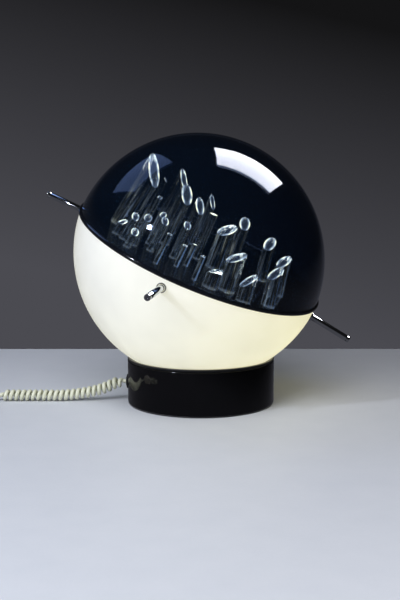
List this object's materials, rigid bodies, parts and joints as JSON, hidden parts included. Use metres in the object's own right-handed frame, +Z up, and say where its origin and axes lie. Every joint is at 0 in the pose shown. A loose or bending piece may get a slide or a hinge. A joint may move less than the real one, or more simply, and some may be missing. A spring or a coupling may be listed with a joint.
{
  "type": "tilting ball table lamp",
  "caption": "Table lamp: a white bowl and smoked dome form a ball that tilts in a low black ring, with handle rods, clear light rods inside and a curled cord.",
  "frame": {"origin": "centre of the base ring's underside, on the table, on the ring's vertical axis", "axes": "+Z up; the front, towards the viewer, is -Y; +X is to the viewer's right; the cord leaves the ring towards -X"},
  "size_m": [0.5635, 0.4174, 0.3417],
  "materials": {
    "felt": "black felt",
    "black_rubber": "matte",
    "cord": "cream PVC, semi-matte",
    "cord_plastic": "cream moulded plastic",
    "plated_steel": "nickel-plated steel",
    "red_plastic": "red moulded plastic",
    "black_plastic": "satin black plastic",
    "opal_acrylic": "polished opal acrylic",
    "brass": "plain turned brass",
    "bakelite": "black phenolic",
    "porcelain": "glazed",
    "bulb_glass": "frosted",
    "nickel_cap": "plain",
    "chrome": "polished chrome",
    "boss_metal": "turned",
    "black_acrylic": "polished black acrylic",
    "smoked_acrylic": "polished smoked blue acrylic",
    "clear_acrylic": "polished clear acrylic"
  },
  "bodies": {
    "base": {"base_ring": "black_acrylic", "foot_ring": "felt", "cord_grommet": "black_rubber", "inner_cord": "cord", "curly_cord": "cord", "straight_cord": "cord", "cord_coil": "cord", "plug_body": "cord_plastic", "plug_pins": "plated_steel", "switch_base": "cord_plastic", "switch_cover": "cord_plastic", "switch_screws": "plated_steel"},
    "rocker": {"switch_rocker": "red_plastic"},
    "turn": {"seat_ring": "black_plastic", "riser_cord": "cord"},
    "lean": {"cord_bush": "black_plastic"},
    "ball": {"opal_bowl": "opal_acrylic", "pole_tube": "brass", "pole_nut": "brass", "holder_body": "bakelite", "holder_insert": "porcelain", "holder_sleeve": "brass", "holder_contact": "brass", "bulb_glass": "bulb_glass", "bulb_cap": "nickel_cap", "front_handle_rod": "chrome", "right_handle_rod": "chrome", "back_handle_rod": "chrome", "left_handle_rod": "chrome", "rod_collars": "chrome", "rod_bosses": "boss_metal"},
    "tray": {"rod_plate": "black_acrylic", "light_rod_01": "clear_acrylic", "light_rod_02": "clear_acrylic", "light_rod_03": "clear_acrylic", "light_rod_04": "clear_acrylic", "light_rod_05": "clear_acrylic", "light_rod_06": "clear_acrylic", "light_rod_07": "clear_acrylic", "light_rod_08": "clear_acrylic", "light_rod_09": "clear_acrylic", "light_rod_10": "clear_acrylic", "light_rod_11": "clear_acrylic", "light_rod_12": "clear_acrylic", "light_rod_13": "clear_acrylic", "light_rod_14": "clear_acrylic", "light_rod_15": "clear_acrylic", "light_rod_16": "clear_acrylic", "light_rod_17": "clear_acrylic", "light_rod_18": "clear_acrylic", "light_rod_19": "clear_acrylic", "light_rod_20": "clear_acrylic", "light_rod_21": "clear_acrylic", "light_rod_22": "clear_acrylic", "light_rod_23": "clear_acrylic", "light_rod_24": "clear_acrylic", "light_rod_25": "clear_acrylic", "light_rod_26": "clear_acrylic", "light_rod_27": "clear_acrylic"},
    "dome": {"smoked_dome": "smoked_acrylic"}
  },
  "joints": [
    {"name": "rocker_tilt", "type": "hinge", "parent": "base", "child": "rocker", "pos_m": [-0.288, -0.062, 0.014], "axis": [1, 0, 0], "range_deg": [-14, 0]},
    {"name": "ball_turn", "type": "hinge", "parent": "base", "child": "turn", "pos_m": [0, 0, 0.19166], "axis": [0, 0, 1], "range_deg": [-180, 180]},
    {"name": "ball_lean", "type": "hinge", "parent": "turn", "child": "lean", "pos_m": [0, 0, 0.19166], "axis": [0.4115, 0.9114, 0], "range_deg": [-52, 4], "deforming": ["riser_cord"]},
    {"name": "ball_spin", "type": "hinge", "parent": "lean", "child": "ball", "pos_m": [0, 0, 0.19166], "axis": [0.3707, -0.1674, 0.9135], "range_deg": [-180, 180]},
    {"name": "tray_lift", "type": "slide", "parent": "ball", "child": "tray", "axis": [0.3707, -0.1674, 0.9135], "range_m": [0, 0.12]},
    {"name": "dome_lift", "type": "slide", "parent": "tray", "child": "dome", "axis": [0.3707, -0.1674, 0.9135], "range_m": [0, 0.2]}
  ]
}
